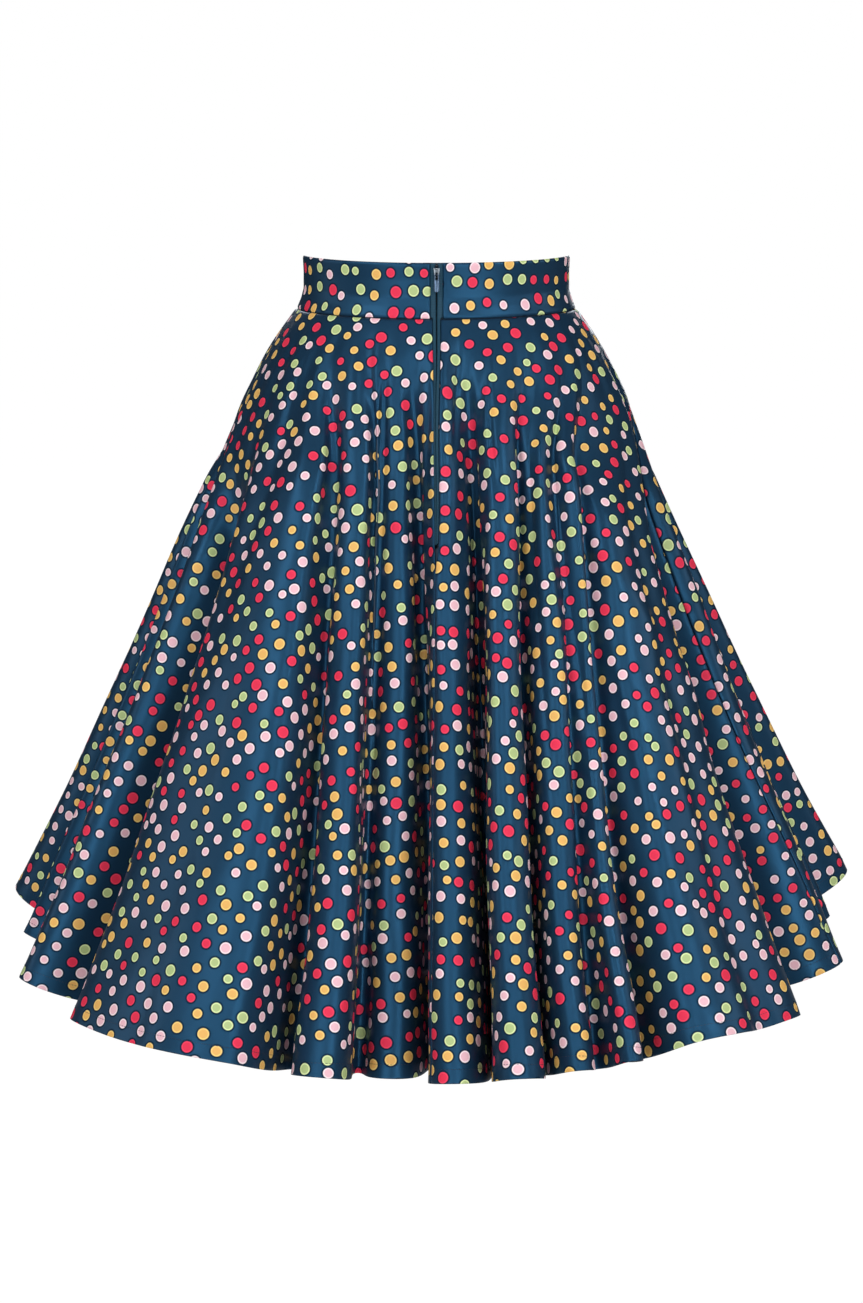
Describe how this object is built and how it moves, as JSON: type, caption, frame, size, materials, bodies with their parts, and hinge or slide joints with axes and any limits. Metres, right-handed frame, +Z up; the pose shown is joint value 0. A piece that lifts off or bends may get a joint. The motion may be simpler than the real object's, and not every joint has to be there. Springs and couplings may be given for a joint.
{
  "type": "circle skirt",
  "caption": "High-waisted circle skirt in its worn, hollow form, with a shaped waistband, deep hanging folds and a centre-back zip with a swinging pull tab.",
  "frame": {"origin": "middle of the waist oval, level with the narrowest line of the waistband, 15 mm below its rim at the back", "axes": "+Z up, -Y the wearer's back with the zip, +Y the wearer's front, +X the wearer's right"},
  "size_m": [0.8445, 0.7901, 0.6924],
  "materials": {
    "cloth": "satin-faced woven cloth, dark teal navy, printed with small red, pink, amber and green dots",
    "zip_tape": "woven teal tape",
    "zip_metal": "dark gunmetal lacquer over metal"
  },
  "bodies": {
    "skirt": {"waistband_front": "cloth", "waistband_back_right": "cloth", "waistband_back_left": "cloth", "skirt_front": "cloth", "skirt_back_right": "cloth", "skirt_back_left": "cloth", "zip_tape_right": "zip_tape", "zip_tape_left": "zip_tape", "zip_slider": "zip_metal"},
    "pull_tab": {"zip_pull": "zip_metal"}
  },
  "joints": [
    {"name": "pull_tab_swing", "type": "hinge", "parent": "skirt", "child": "pull_tab", "pos_m": [0, -0.0966, 0.0044], "axis": [-1, 0, 0], "range_deg": [0, 165]}
  ]
}
